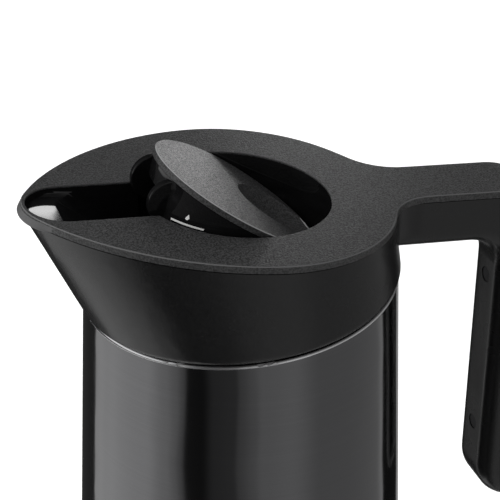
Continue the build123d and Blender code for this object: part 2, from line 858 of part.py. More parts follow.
with BuildPart() as stopper_housing:
    with BuildSketch(Plane.XY.offset(well_floor + seat_gap)):
        with Locations((hole_shift, 0)):
            Circle(hole_radius - flange_clearance)
    extrude(amount=flange_wall)
    with BuildSketch(Plane.XY.offset(plug_bottom)):
        Circle(plug_radius_outer)
    extrude(amount=flange_top - plug_bottom)
    with BuildSketch(Plane.XY.offset(plug_bottom + plug_floor)):
        Circle(plug_radius_inner)
    extrude(amount=flange_top - plug_bottom, mode=Mode.SUBTRACT)
    with BuildSketch(Plane.XY.offset(seal_bottom)):
        Circle(plug_radius_outer + plug_clearance)
        Circle(plug_radius_outer - seal_depth, mode=Mode.SUBTRACT)
    extrude(amount=seal_height, mode=Mode.SUBTRACT)
    with BuildSketch(Plane.XY.offset(plug_bottom)):
        with Locations((stem_shift, 0)):
            Circle(valve_hole)
    extrude(amount=plug_floor, mode=Mode.SUBTRACT)
    spoke_end = plug_radius_inner + spoke_sink
    with BuildSketch(Plane.XY.offset(hub_bottom)):
        with Locations((stem_shift, 0)):
            Circle(hub_radius)
            Rectangle(spoke_width, 2 * sqrt(spoke_end**2 - stem_shift**2))
            Rectangle(spoke_end - stem_shift, spoke_width, align=(Align.MIN, Align.CENTER))
            Circle(stem_radius + stem_fit, mode=Mode.SUBTRACT)
    extrude(amount=hub_height)
    for hand in (1, -1):
        with BuildSketch(side.offset(-hand * (ear_inner + ear_wall / 2) - ear_wall / 2)):
            with Locations((pivot_x, flange_top)):
                Rectangle(2 * ear_half, pivot_z - flange_top, align=(Align.CENTER, Align.MIN))
            with Locations((pivot_x, pivot_z)):
                Circle(pin_radius + ear_cover)
                Rectangle(2 * (pin_radius + ear_cover), 2 * ear_half, align=(Align.CENTER, Align.MAX))
                Circle(pin_radius + thread_play, mode=Mode.SUBTRACT)
        extrude(amount=ear_wall)
save(stopper_housing.part, "stopper_housing")

with BuildPart() as stopper_gasket:
    with BuildSketch(Plane.XY.offset(seal_bottom)):
        Circle(neck_bore - seal_clearance)
        Circle(plug_radius_outer - seal_depth, mode=Mode.SUBTRACT)
    extrude(amount=seal_height)
    rims = stopper_gasket.edges().filter_by(GeomType.CIRCLE).filter_by(lambda e: e.radius > plug_radius_outer)
    fillet(rims, seal_height / 4)
save(stopper_gasket.part, "stopper_gasket")

with BuildPart() as stopper_cage:
    with BuildSketch(Plane.XY.offset(cage_bottom)):
        Circle(plug_radius_outer)
    extrude(amount=plug_bottom - cage_bottom)
    with BuildSketch(Plane.XY.offset(cage_bottom + cage_floor)):
        Circle(plug_radius_outer - cage_leg)
    extrude(amount=plug_bottom - cage_bottom, mode=Mode.SUBTRACT)
    with BuildSketch(Plane.XY.offset(cage_bottom + cage_floor)):
        with PolarLocations(0, cage_legs, cage_turn):
            with BuildLine():
                window_half = 180 / cage_legs - cage_leg_angle / 2
                window_reach = 2 * plug_radius_outer
                Polyline(
                    (0, 0),
                    (window_reach * cos(radians(window_half)), -window_reach * sin(radians(window_half))),
                    (window_reach * cos(radians(window_half)), window_reach * sin(radians(window_half))),
                    close=True,
                )
            make_face()
    extrude(amount=plug_bottom - cage_ring - cage_bottom - cage_floor, mode=Mode.SUBTRACT)
    with BuildSketch(Plane.XY.offset(cage_bottom + cage_floor)):
        with Locations((stem_shift, 0)):
            Circle(spring_guide)
    extrude(amount=spring_guide_height)
save(stopper_cage.part, "stopper_cage")

# Valve: disc on its stem, seal on the disc, button that the rocker pushes, spring that closes it

with BuildPart() as valve_stem:
    with BuildSketch(Plane.XY.offset(valve_bottom)):
        with Locations((stem_shift, 0)):
            Circle(valve_radius)
    extrude(amount=valve_wall)
    with BuildSketch(Plane.XY.offset(valve_bottom)):
        with Locations((stem_shift, 0)):
            Circle(stem_radius)
    extrude(amount=button_z - valve_bottom)
save(valve_stem.part, "valve_stem")

with BuildPart() as valve_seal:
    with BuildSketch(Plane.XY.offset(seal_top)):
        with Locations((stem_shift, 0)):
            Circle(valve_radius)
            Circle(stem_radius + thread_play, mode=Mode.SUBTRACT)
    extrude(amount=-valve_seal_height)
save(valve_seal.part, "valve_seal")

with BuildPart() as valve_button:
    with Locations((stem_shift, 0, button_z)):
        Sphere(button_radius)
    split(bisect_by=Plane.XY.offset(button_z - button_skirt), keep=Keep.TOP)
    with BuildSketch(Plane.XY.offset(button_z - button_radius)):
        with Locations((stem_shift, 0)):
            Circle(stem_radius + thread_play)
    extrude(amount=button_radius, mode=Mode.SUBTRACT)
save(valve_button.part, "valve_button")

spring_foot = cage_bottom + cage_floor + spring_seat + spring_wire / 2
spring_height = valve_bottom - spring_seat - spring_wire / 2 - spring_foot
spring_pitch = spring_height / spring_turns

with BuildPart() as valve_spring:
    with BuildLine():
        coil = Helix(spring_pitch, spring_height, spring_radius, center=(stem_shift, 0, spring_foot))
    with BuildSketch(Plane(coil @ 0, z_dir=coil % 0)):
        Circle(spring_wire / 2)
    sweep()
save(valve_spring.part, "valve_spring")
print("valve spring, least gap between its turns:", round(spring_pitch - spring_wire, 2))

# Rocker: disc with a fold across its middle and a thumb dish, on a skirt with two rounded cheeks

fold_tilt = open_tilt + radians(fold_angle)
fold_line = rocker_face.offset(pivot_sink).origin
rear_face = leaning(fold_line, fold_tilt)
dish_ball = (dish_radius**2 + dish_depth**2) / (2 * dish_depth)
dish_turn = (90, 0, 0)  # degrees, turns the ball's seam away from the dish
dish_ball_centre = rear_face.from_local_coords((dish_centre, 0, dish_ball - dish_depth))


def disc_half(face, end):
    """Half of the disc with its deeper rim, from the fold line to one end."""
    with BuildPart() as half:
        with BuildSketch(face.offset(-disc_wall - disc_rim)):
            with Locations((-pivot_back, 0)):
                Circle(disc_radius)
        extrude(amount=disc_wall + disc_rim)
        top_edge = half.edges().filter_by(lambda e: abs(face.to_local_coords(e @ 0.5).Z) < 0.01)
        chamfer(top_edge, disc_edge)
        with BuildSketch(face.offset(-disc_wall - disc_rim)):
            with Locations((-pivot_back, 0)):
                Circle(disc_radius - disc_rim_width)
        extrude(amount=disc_rim, mode=Mode.SUBTRACT)
        with BuildSketch(face.offset(-disc_wall - disc_rim)):
            Rectangle(2 * disc_radius, 2 * disc_radius, align=(end, Align.CENTER))
        extrude(amount=disc_wall + disc_rim, mode=Mode.INTERSECT)
    return half.part


def swing_form(end, keep):
    """Room in which one half of the rocker swings inside the hole."""
    with BuildPart() as form:
        with BuildSketch(Plane.XY.offset(pivot_z)):
            with Locations((hole_shift, 0)):
                Circle(hole_radius - swing_clearance)
            with Locations((pivot_x, 0)):
                Rectangle(2 * hole_radius, 2 * hole_radius, align=(end, Align.CENTER), mode=Mode.INTERSECT)
        revolve(axis=Axis(rocker_face.origin, (0, 1, 0)))
        split(bisect_by=Plane(rocker_face.origin, z_dir=rocker_face.x_dir), keep=keep)
    return form.part


def dish_bowl():
    """Bowl that hangs below the disc's rear half and holds the thumb dish."""
    with BuildPart() as bowl:
        with BuildSketch(rear_face.offset(-dish_depth - 2 * disc_wall)):
            with Locations((dish_centre, 0)):
                Circle(dish_radius)
        extrude(amount=dish_depth + disc_wall)
        with Locations(dish_ball_centre):
            Sphere(dish_ball + disc_wall, rotation=dish_turn, mode=Mode.INTERSECT)
    return bowl.part


with BuildPart() as rocker_cap:
    add(disc_half(rocker_face.offset(pivot_sink), Align.MAX))
    add(disc_half(rear_face, Align.MIN))
    add(dish_bowl())
    with Locations(dish_ball_centre):
        Sphere(dish_ball, rotation=dish_turn, mode=Mode.SUBTRACT)
save(rocker_cap.part, "rocker_cap")

swing_room = swing_form(Align.MAX, Keep.BOTTOM) + swing_form(Align.MIN, Keep.TOP)
cheek_outer = slot_half - cheek_gap
cheek_top = disc_under - disc_rim - skirt_groove
slot_front = ear_half + ear_clearance
slot_rear = web_depth * tan(open_tilt) + ear_half / cos(open_tilt) + ear_clearance
rocker_floor = flange_top + floor_clearance
closed_up = rocker_face.z_dir * cos(tilt) - rocker_face.x_dir * sin(tilt)
closed_floor = Plane(rocker_face.origin - closed_up * (pivot_z - rocker_floor), z_dir=closed_up)
cap_reach = 2 * disc_radius


def above_fold(height):
    """Space above a height in front of the fold, and above the height falling away behind it."""
    return side_block(
        cap_reach,
        (-cap_reach, height, 0),
        (0, height, 0),
        (cap_reach, height - cap_reach * tan(radians(fold_angle)), 0),
        (cap_reach, cap_reach, 0),
        (-cap_reach, cap_reach, 0),
        view=rocker_side,
    )


skirt_top = disc_radius - skirt_inset
skirt_slope = tan(radians(skirt_draft))
skirt_low = skirt_top - (cheek_top + skirt_depth) * skirt_slope
step_outer = disc_radius - disc_rim_width - step_play
web_radius = skirt_top - (cheek_top + web_depth) * skirt_slope - skirt_wall / 2
disc_middle = rocker_face.from_local_coords((-pivot_back, 0, 0))
skirt_side = Plane(disc_middle, x_dir=rocker_face.x_dir, z_dir=(0, -1, 0))

with BuildPart() as rim_space:
    add(above_fold(cheek_top))
    with BuildSketch(rocker_face.offset(-disc_radius)):
        with Locations((-pivot_back, 0)):
            Circle(step_outer)
    extrude(amount=2 * disc_radius, mode=Mode.SUBTRACT)


def cheek_form(hand):
    """Rounded cheek of the spout's mouth on one side, from its round front back to the skirt."""
    with BuildPart() as cheek:
        with BuildSketch(rocker_side.offset(hand * (cheek_outer - cheek_wall / 2) - cheek_wall / 2)):
            with Locations((-cheek_centre_back, -cheek_centre_drop)):
                Circle(cheek_radius)
            with BuildLine():
                Polyline(
                    (-cheek_centre_back, -cheek_centre_drop - cheek_radius),
                    (-cheek_root, -web_depth),
                    (-cheek_root, cheek_top),
                    (-cheek_centre_back, cheek_top),
                    close=True,
                )
            make_face()
        extrude(amount=cheek_wall)
        fillet(cheek.edges().filter_by(GeomType.CIRCLE), cheek_round)
        with BuildSketch(rocker_face.offset(cheek_top)):
            Rectangle(2 * cap_reach, 2 * cap_reach)
        extrude(amount=cap_reach, mode=Mode.SUBTRACT)
    return cheek.part


with BuildPart() as rocker_body:
    with BuildSketch(skirt_side):
        with BuildLine():
            Polyline(
                (skirt_top, cheek_top),
                (skirt_low, -skirt_depth),
                (skirt_low - skirt_wall, -skirt_depth),
                (step_outer - skirt_wall, cheek_top),
                (step_outer - skirt_wall, pivot_sink),
                (step_outer, pivot_sink),
                (step_outer, cheek_top),
                close=True,
            )
        make_face()
    revolve(axis=Axis(skirt_side.origin, rocker_face.z_dir))
    with BuildSketch(rocker_face.offset(-disc_radius)):
        Rectangle(2 * disc_radius, 2 * disc_radius, align=(Align.MIN, Align.CENTER))
    extrude(amount=disc_radius - skirt_rear_depth, mode=Mode.SUBTRACT)
    with BuildSketch(rocker_face.offset(-disc_radius)):
        Rectangle(2 * disc_radius, 2 * cheek_outer, align=(Align.MAX, Align.CENTER))
    extrude(amount=disc_radius - web_depth, mode=Mode.SUBTRACT)
    with BuildSketch(rocker_face.offset(-web_depth)):
        with Locations((-pivot_back, 0)):
            Circle(web_radius)
        with GridLocations(0, 2 * ear_inner + ear_wall, 1, 2):
            with Locations((-slot_front, 0)):
                Rectangle(
                    slot_front + slot_rear,
                    ear_wall + 2 * ear_clearance,
                    align=(Align.MIN, Align.CENTER),
                    mode=Mode.SUBTRACT,
                )
    extrude(amount=web_wall)
    add(swing_room, mode=Mode.INTERSECT)
    for hand in (1, -1):
        add(cheek_form(hand))
    for hand in (1, -1):
        boss_length = pin_end - ear_outer - ear_clearance
        with BuildSketch(rocker_side.offset(hand * (pin_end - boss_length / 2) - boss_length / 2)):
            Circle(boss_radius)
        extrude(amount=boss_length)
    with BuildSketch(rocker_side.offset(-disc_radius)):
        Circle(pin_radius + pin_fit)
    extrude(amount=2 * disc_radius, mode=Mode.SUBTRACT)
    add(above_fold(disc_under - cap_play), mode=Mode.SUBTRACT)
    add(rim_space.part, mode=Mode.SUBTRACT)
    with Locations(dish_ball_centre):
        Sphere(dish_ball + disc_wall + cap_play, rotation=dish_turn, mode=Mode.SUBTRACT)
    split(bisect_by=Plane.XY.offset(rocker_floor), keep=Keep.TOP)
    split(bisect_by=closed_floor, keep=Keep.TOP)
save(rocker_body.part, "rocker_body")

with BuildPart() as pivot_pins:
    for hand in (1, -1):
        pin_length = pin_end - ear_inner
        with BuildSketch(rocker_side.offset(hand * (pin_end - pin_length / 2) - pin_length / 2)):
            Circle(pin_radius)
        extrude(amount=pin_length)
save(pivot_pins.part, "pivot_pins")
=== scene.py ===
from math import cos, pi, radians, sin, tan

import bmesh
import bpy
from mathutils import Matrix, Vector


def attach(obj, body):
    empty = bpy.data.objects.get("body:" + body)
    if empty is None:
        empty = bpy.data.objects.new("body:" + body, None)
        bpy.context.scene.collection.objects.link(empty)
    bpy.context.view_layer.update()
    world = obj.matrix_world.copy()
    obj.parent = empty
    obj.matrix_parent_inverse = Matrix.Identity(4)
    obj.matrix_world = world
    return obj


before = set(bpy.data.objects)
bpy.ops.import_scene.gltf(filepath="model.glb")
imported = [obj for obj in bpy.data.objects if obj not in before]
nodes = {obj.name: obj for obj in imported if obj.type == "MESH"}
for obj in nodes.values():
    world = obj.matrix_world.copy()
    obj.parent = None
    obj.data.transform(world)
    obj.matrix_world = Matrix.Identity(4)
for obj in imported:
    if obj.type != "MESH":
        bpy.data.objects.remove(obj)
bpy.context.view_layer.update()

# Studio: the carafe is seen from its left front and from above, cut off above its foot.
# A long lens stands about 58 cm from the middle of the top, and the picture is square.
lens_length = 118.98
lens_reach = 0.58437
lens_roll = radians(0.403)
lens_back = Vector((-0.2946, -0.8181, 0.4939)).normalized()
lens_target = Vector((0.003368, 0.0, 0.20006))

studio_scene = bpy.context.scene
studio_scene.view_settings.view_transform = "Standard"
lens_data = bpy.data.cameras.new("product_lens")
lens_data.sensor_width = 36.0
lens_data.lens = lens_length
lens_data.clip_start = 0.01
lens_data.clip_end = 50.0
lens = bpy.data.objects.new("product_lens", lens_data)
studio_scene.collection.objects.link(lens)
lens.rotation_mode = "QUATERNION"
lens_turn = lens_back.to_track_quat("Z", "Y").to_matrix().to_4x4() @ Matrix.Rotation(lens_roll, 4, "Z")
lens.matrix_world = Matrix.Translation(lens_target + lens_back * lens_reach) @ lens_turn
studio_scene.camera = lens


# Surround: white paper all round, as the picture shows it, with soft boxes and black cards beside it
# that only show as reflections. They reach down past the table, so that they stay upright in the jacket.
def share_of(tree, first, second, operation):
    """One number worked out from two; each is a socket or a plain value."""
    step = tree.nodes.new("ShaderNodeMath")
    step.operation = operation
    for socket, value in zip(step.inputs, (first, second)):
        if isinstance(value, float):
            socket.default_value = value
        else:
            tree.links.new(value, socket)
    return step.outputs["Value"]


def spread(tree, field, low, high, start=0.35, end=0.65):
    """Turns a field into a number between two limits."""
    span = tree.nodes.new("ShaderNodeMapRange")
    span.inputs["From Min"].default_value = start
    span.inputs["From Max"].default_value = end
    span.inputs["To Min"].default_value = low
    span.inputs["To Max"].default_value = high
    tree.links.new(field, span.inputs["Value"])
    return span.outputs["Result"]


def around_axis(tree, direction):
    """Share of a full turn round the carafe's upright axis, and height, of a direction."""
    parts = tree.nodes.new("ShaderNodeSeparateXYZ")
    tree.links.new(direction, parts.inputs["Vector"])
    turn = share_of(tree, parts.outputs["Y"], parts.outputs["X"], "ARCTAN2")
    return spread(tree, turn, 0.0, 1.0, -pi, pi), parts.outputs["Z"]


def card_ramp(tree, share, stops):
    """Brightness of the cards and boxes, from stops of angle in degrees and brightness."""
    ramp = tree.nodes.new("ShaderNodeValToRGB")
    ramp.color_ramp.interpolation = "EASE"
    marks = ramp.color_ramp.elements
    while len(marks) < len(stops):
        marks.new(0.5)
    for mark, (angle, level) in zip(marks, stops):
        mark.position = (angle + 180) / 360
        mark.color = (level, level, level, 1)
    tree.links.new(share, ramp.inputs["Fac"])
    return ramp.outputs["Color"]


def by_ray(tree, matte, mirror, seen, target):
    """Gives a surface one shader for plain light, one in gloss and one for the lens, also through glass."""
    path = tree.nodes.new("ShaderNodeLightPath")
    clear = share_of(tree, path.outputs["Is Camera Ray"], path.outputs["Is Transmission Ray"], "MAXIMUM")
    shown = matte.outputs[0]
    for choice, other in ((path.outputs["Is Glossy Ray"], mirror), (clear, seen)):
        mixed = tree.nodes.new("ShaderNodeMixShader")
        tree.links.new(choice, mixed.inputs["Fac"])
        tree.links.new(shown, mixed.inputs[1])
        tree.links.new(other.outputs[0], mixed.inputs[2])
        shown = mixed.outputs["Shader"]
    tree.links.new(shown, target.inputs["Surface"])


card_stops = [
    (-180, 0.83), (-163, 0.57), (-156, 0.42), (-150.5, 0.25), (-147, 0.03), (-136, 0.025), (-127, 0.085),
    (-116, 0.1), (-113, 0.1), (-111, 0.17), (-109, 0.2), (-100, 0.29), (-94, 0.39), (-73, 0.44),
    (-50, 0.29), (-20, 0.28), (5, 0.27), (12, 0.4), (14.5, 0.01), (44, 0.01), (48, 0.3), (76, 0.3),
    (82, 0.03), (122, 0.03), (124, 0.58), (136, 0.72), (150, 0.84), (180, 0.83),
]
card_foot = 0.1
card_head = 0.55
head_level = 0.3
paper_glow = 0.5

surround = bpy.data.worlds.new("paper_surround")
studio_scene.world = surround
surround.use_nodes = True
air = surround.node_tree
air.nodes.clear()
air_place = air.nodes.new("ShaderNodeTexCoord")
air_share, air_height = around_axis(air, air_place.outputs["Generated"])
air_cards = air.nodes.new("ShaderNodeMix")
air_cards.data_type = "RGBA"
air_cards.blend_type = "MULTIPLY"
air_cards.inputs["Factor"].default_value = 1.0
air.links.new(card_ramp(air, air_share, card_stops), air_cards.inputs["A"])
air.links.new(spread(air, air_height, 1.0, head_level, card_foot, card_head), air_cards.inputs["B"])
air_lit = air.nodes.new("ShaderNodeBackground")
air_lit.inputs["Color"].default_value = (1, 1, 1, 1)
air_lit.inputs["Strength"].default_value = paper_glow
air_mirror = air.nodes.new("ShaderNodeBackground")
air.links.new(air_cards.outputs["Result"], air_mirror.inputs["Color"])
air_seen = air.nodes.new("ShaderNodeBackground")
air_seen.inputs["Color"].default_value = (1, 1, 1, 1)
by_ray(air, air_lit, air_mirror, air_seen, air.nodes.new("ShaderNodeOutputWorld"))


# Table: a wide white sheet at the height of the foot, which keeps the soft shadow under the carafe.
# Glossy surfaces see the cards through it, and the lens sees it a little brighter, as bare paper.
table_reach = 6.0
table_glow = 0.6
table_mesh = bpy.data.meshes.new("table")
table_form = bmesh.new()
bmesh.ops.create_grid(table_form, x_segments=1, y_segments=1, size=table_reach)
table_form.to_mesh(table_mesh)
table_form.free()
table = bpy.data.objects.new("table", table_mesh)
studio_scene.collection.objects.link(table)

paper = bpy.data.materials.new("white_paper")
paper.use_nodes = True
sheet = paper.node_tree
sheet.nodes.clear()
sheet_matte = sheet.nodes.new("ShaderNodeBsdfDiffuse")
sheet_matte.inputs["Color"].default_value = (0.8, 0.8, 0.8, 1)
sheet_glow = sheet.nodes.new("ShaderNodeEmission")
sheet_glow.inputs["Color"].default_value = (1, 1, 1, 1)
sheet_glow.inputs["Strength"].default_value = table_glow
sheet_seen = sheet.nodes.new("ShaderNodeAddShader")
sheet.links.new(sheet_matte.outputs["BSDF"], sheet_seen.inputs[0])
sheet.links.new(sheet_glow.outputs["Emission"], sheet_seen.inputs[1])
sheet_mirror = sheet.nodes.new("ShaderNodeBsdfTransparent")
by_ray(sheet, sheet_matte, sheet_mirror, sheet_seen, sheet.nodes.new("ShaderNodeOutputMaterial"))
table_mesh.materials.append(paper)


# Lamps: soft boxes at the spout, on the right and overhead light the carafe. A small one close behind
# the rocker is mirrored as the sheen on its disc, and a tiny far one on the floor of the spout.
def soft_box(name, place, aim, width, height, watts, mirrored):
    """Rectangular soft box that shines from a place towards a point, and shows in gloss if mirrored."""
    box_data = bpy.data.lights.new(name, "AREA")
    box_data.shape = "RECTANGLE"
    box_data.size = width
    box_data.size_y = height
    box_data.energy = watts
    box = bpy.data.objects.new(name, box_data)
    studio_scene.collection.objects.link(box)
    way = Vector(aim) - Vector(place)
    box.matrix_world = Matrix.Translation(place) @ way.to_track_quat("-Z", "Y").to_matrix().to_4x4()
    box.visible_camera = False
    box.visible_glossy = mirrored


soft_box("spout_box", (-0.62, 0.05, 0.62), (0.0, 0.0, 0.17), 0.4, 0.5, 2.8, False)
soft_box("right_box", (1.2, -0.6, 0.7), (0.0, 0.0, 0.15), 0.8, 0.8, 0.8, False)
soft_box("over_box", (-0.2, 0.5, 1.3), (0.0, 0.0, 0.15), 0.9, 0.9, 3.0, False)
soft_box("sheen_box", (0.155, 0.29, 0.22), (-0.03, 0.0, 0.24), 0.09, 0.09, 0.06, True)
soft_box("tip_box", (0.235, 0.81, 0.58), (-0.07, 0.0, 0.228), 0.028, 0.026, 0.012, True)


# Jacket: conical sleeve of thin steel, tinted dark and clear coated, brushed round the body in fine
# level lines. Its upper edge is cut at a slant and rolled into a bead below the collar, whose top is
# painted near white as a painted highlight.
def surface(name, color, rough, metal=0.0):
    """Material with its plain values on the shader; returns the material, its tree and its shader."""
    material = bpy.data.materials.new(name)
    material.use_nodes = True
    tree = material.node_tree
    shader = tree.nodes["Principled BSDF"]
    shader.inputs["Base Color"].default_value = (*color, 1)
    shader.inputs["Roughness"].default_value = rough
    shader.inputs["Metallic"].default_value = metal
    return material, tree, shader


def grain_field(tree, size, stretch=(1, 1, 1), detail=3.0):
    """Noise of a feature size in millimetres, drawn out along its axes by a stretch."""
    place = tree.nodes.new("ShaderNodeTexCoord")
    frame_map = tree.nodes.new("ShaderNodeMapping")
    frame_map.inputs["Scale"].default_value = [1000 / size / pull for pull in stretch]
    field = tree.nodes.new("ShaderNodeTexNoise")
    field.inputs["Scale"].default_value = 1.0
    field.inputs["Detail"].default_value = detail
    tree.links.new(place.outputs["Object"], frame_map.inputs["Vector"])
    tree.links.new(frame_map.outputs["Vector"], field.inputs["Vector"])
    return field.outputs["Fac"]


def mix_color(tree, share, other):
    """Mixer that passes on its input A, and a plain colour where the share is full."""
    mixed = tree.nodes.new("ShaderNodeMix")
    mixed.data_type = "RGBA"
    mixed.inputs["B"].default_value = (*other, 1)
    tree.links.new(share, mixed.inputs["Factor"])
    return mixed


def blend_colors(tree, field, dark, light, start=0.35, end=0.65):
    """Turns a field into a colour between two colours."""
    mixed = mix_color(tree, spread(tree, field, 0.0, 1.0, start, end), light)
    mixed.inputs["A"].default_value = (*dark, 1)
    return mixed.outputs["Result"]


def color_where(tree, share, base, other):
    """A colour field that gives way to a plain colour where the share is full."""
    mixed = mix_color(tree, share, other)
    tree.links.new(base, mixed.inputs["A"])
    return mixed.outputs["Result"]


def relief(tree, shader, field, strength, height):
    """Lets a field raise the surface by a height in millimetres."""
    bump = tree.nodes.new("ShaderNodeBump")
    bump.inputs["Strength"].default_value = strength
    bump.inputs["Distance"].default_value = height / 1000
    tree.links.new(field, bump.inputs["Height"])
    tree.links.new(bump.outputs["Normal"], shader.inputs["Normal"])
    return bump


def height_over(tree, middle, slant):
    """Height in metres over a slanted plane through a point on the upright axis."""
    place = tree.nodes.new("ShaderNodeTexCoord")
    over = tree.nodes.new("ShaderNodeVectorMath")
    over.operation = "DOT_PRODUCT"
    over.inputs[1].default_value = (sin(slant), 0, cos(slant))
    tree.links.new(place.outputs["Object"], over.inputs[0])
    return share_of(tree, over.outputs["Value"], middle * cos(slant), "SUBTRACT")


def finish_node(name, material):
    """Gives a part of the frame its material, and smooth faces between its edges."""
    part = nodes[name]
    part.data.materials.clear()
    part.data.materials.append(material)
    for face in part.data.polygons:
        face.use_smooth = True
    weld = part.modifiers.new("weld", "WELD")
    weld.merge_threshold = 0.000001
    edges = part.modifiers.new("edges", "EDGE_SPLIT")
    edges.split_angle = radians(28)
    part.modifiers.new("flats", "WEIGHTED_NORMAL").keep_sharp = True


rim_height = 0.190
rim_slant = radians(-4.92)
bead_highlight_depth = 0.0008
bead_dullness = 0.22
coat_weight = 0.6
jacket_steel, jacket_tree, jacket_shader = surface("tinted_steel", (0.14, 0.14, 0.145), 0.1, 1.0)
brush_lines = grain_field(jacket_tree, 0.25, (700, 700, 1), 4.0)
brush_patches = grain_field(jacket_tree, 14.0, (3, 3, 1), 2.0)
brush_tone = blend_colors(jacket_tree, brush_lines, (0.132, 0.132, 0.136), (0.15, 0.15, 0.155), 0.3, 0.7)
brush_rough = spread(jacket_tree, brush_patches, 0.085, 0.115)

# Painted highlight: the top of the bead is painted near white, a little rougher and without the coat.
over_rim = height_over(jacket_tree, rim_height, rim_slant)
painted_bead_highlight = share_of(jacket_tree, over_rim, -bead_highlight_depth, "GREATER_THAN")
outside_bead_highlight = share_of(jacket_tree, 1.0, painted_bead_highlight, "SUBTRACT")
bead_rough = share_of(jacket_tree, painted_bead_highlight, bead_dullness, "MULTIPLY")
jacket_tone = color_where(jacket_tree, painted_bead_highlight, brush_tone, (0.95, 0.95, 0.96))
jacket_rough = share_of(jacket_tree, brush_rough, bead_rough, "ADD")
jacket_coat = share_of(jacket_tree, outside_bead_highlight, coat_weight, "MULTIPLY")
jacket_tree.links.new(jacket_tone, jacket_shader.inputs["Base Color"])
jacket_tree.links.new(jacket_rough, jacket_shader.inputs["Roughness"])
jacket_tree.links.new(jacket_coat, jacket_shader.inputs["Coat Weight"])
relief(jacket_tree, jacket_shader, brush_lines, 0.04, 0.02)
finish_node("outer_jacket", jacket_steel)


# Vacuum flask: drawn and spun steel walls with a welded bottom, a getter pellet and a sealed pump-out
# plug on it, and bright foil round the inner wall. All its steel carries the same spinning marks.
def grained(name, color, rough, grain, dark, light, dull, raised, metal=0.0):
    """Material whose colour, roughness and relief follow one grain.

    The grain is a size in millimetres, a stretch and a detail. Dull holds both limits of the
    roughness, or nothing where it stays plain, and raised holds the relief's strength and height.
    """
    material, tree, shader = surface(name, color, rough, metal)
    field = grain_field(tree, *grain)
    tree.links.new(blend_colors(tree, field, dark, light), shader.inputs["Base Color"])
    if dull:
        tree.links.new(spread(tree, field, *dull), shader.inputs["Roughness"])
    relief(tree, shader, field, *raised)
    return material


flask_steel = grained(
    "spun_steel", (0.6, 0.6, 0.59), 0.24, (0.5, (160, 160, 1), 3.0),
    (0.54, 0.54, 0.53), (0.66, 0.66, 0.65), (0.16, 0.32), (0.15, 0.02), 1.0,
)
pellet_metal = grained(
    "sintered_pellet", (0.34, 0.33, 0.31), 0.6, (0.4, (1, 1, 1), 4.0),
    (0.25, 0.24, 0.23), (0.42, 0.41, 0.39), None, (0.5, 0.1), 0.8,
)
foil_metal = grained(
    "crinkled_foil", (0.8, 0.8, 0.8), 0.2, (6.0, (1, 1, 1), 6.0),
    (0.72, 0.72, 0.73), (0.86, 0.86, 0.86), (0.14, 0.3), (0.8, 0.4), 1.0,
)
for name in ("flask_outer_wall", "flask_inner_wall", "flask_bottom", "flask_stud"):
    finish_node(name, flask_steel)
finish_node("getter", pellet_metal)
finish_node("vacuum_plug", pellet_metal)
finish_node("radiation_foil", foil_metal)


# Base: plastic cap pressed into the jacket's foot, held by one screw into the flask's stud, with a soft
# ring between cap and flask and a rubber disc glued underneath. The cap has a fine moulded texture.
base_plastic = grained(
    "base_plastic", (0.02, 0.02, 0.021), 0.5, (0.35, (1, 1, 1), 3.0),
    (0.016, 0.016, 0.017), (0.03, 0.03, 0.031), (0.42, 0.56), (0.3, 0.05),
)
foot_rubber = grained(
    "foot_rubber", (0.022, 0.022, 0.022), 0.75, (0.8, (1, 1, 1), 5.0),
    (0.016, 0.016, 0.016), (0.034, 0.034, 0.033), (0.66, 0.85), (0.35, 0.08),
)
screw_steel = grained(
    "screw_steel", (0.5, 0.5, 0.5), 0.3, (0.3, (1, 1, 1), 4.0),
    (0.4, 0.4, 0.41), (0.58, 0.58, 0.58), (0.24, 0.4), (0.2, 0.03), 1.0,
)
finish_node("base_cap", base_plastic)
finish_node("foot_pad", foot_rubber)
finish_node("base_screw", screw_steel)


# Soft seals: grey silicone rings under the flask, on its shoulder, on its mouth, round the stopper's
# plug and on the valve. They are compression moulded and wiped with talc, so they look dull.
silicone = grained(
    "grey_silicone", (0.3, 0.3, 0.29), 0.55, (1.2, (1, 1, 1), 5.0),
    (0.26, 0.26, 0.25), (0.34, 0.34, 0.33), (0.48, 0.65), (0.2, 0.05),
)
seal_shader = silicone.node_tree.nodes["Principled BSDF"]
seal_shader.inputs["Subsurface Weight"].default_value = 0.1
seal_shader.inputs["Subsurface Radius"].default_value = (0.002, 0.002, 0.002)
for name in ("support_ring", "shoulder_ring", "neck_gasket", "stopper_gasket", "valve_seal"):
    finish_node(name, silicone)


# Collar: one black moulding with a soft-touch skin, from the slanted rim up to the top plate, with the
# outside of the spout at the front and the arm of the handle at the back.
collar_skin, collar_tree, collar_shader = surface("soft_black", (0.0065, 0.0065, 0.0067), 0.26)
skin_grain = grain_field(collar_tree, 0.75, (1, 1, 1), 1.0)
skin_patches = grain_field(collar_tree, 18.0, (1, 1, 1), 2.0)
collar_tone = blend_colors(collar_tree, skin_grain, (0.005, 0.005, 0.0052), (0.0085, 0.0085, 0.0088))
collar_tree.links.new(collar_tone, collar_shader.inputs["Base Color"])
collar_tree.links.new(spread(collar_tree, skin_patches, 0.23, 0.28), collar_shader.inputs["Roughness"])
relief(collar_tree, collar_shader, skin_grain, 0.45, 0.06)
finish_node("collar", collar_skin)


# Pour channel: polished black moulding, the well under the hole and the chute to the spout.
# Its gloss carries faint polishing marks, and it meets the plate's polished slot without a step.
gloss_skin = grained(
    "gloss_black", (0.006, 0.006, 0.0062), 0.05, (3.0, (4, 4, 1), 4.0),
    (0.005, 0.005, 0.0052), (0.0075, 0.0075, 0.0078), (0.03, 0.07), (0.03, 0.02),
)
finish_node("pour_channel", gloss_skin)


# Top plate: charcoal moulding whose top has a fine spark-eroded grain, while the walls of its hole and
# slot are polished from just below the top edge. The same grain is on the disc of the rocker.
grain_low = 0.85
grain_high = 1.15
grain_strength = 0.8
highlight_band_start = 0.00004
highlight_band_depth = 0.00038


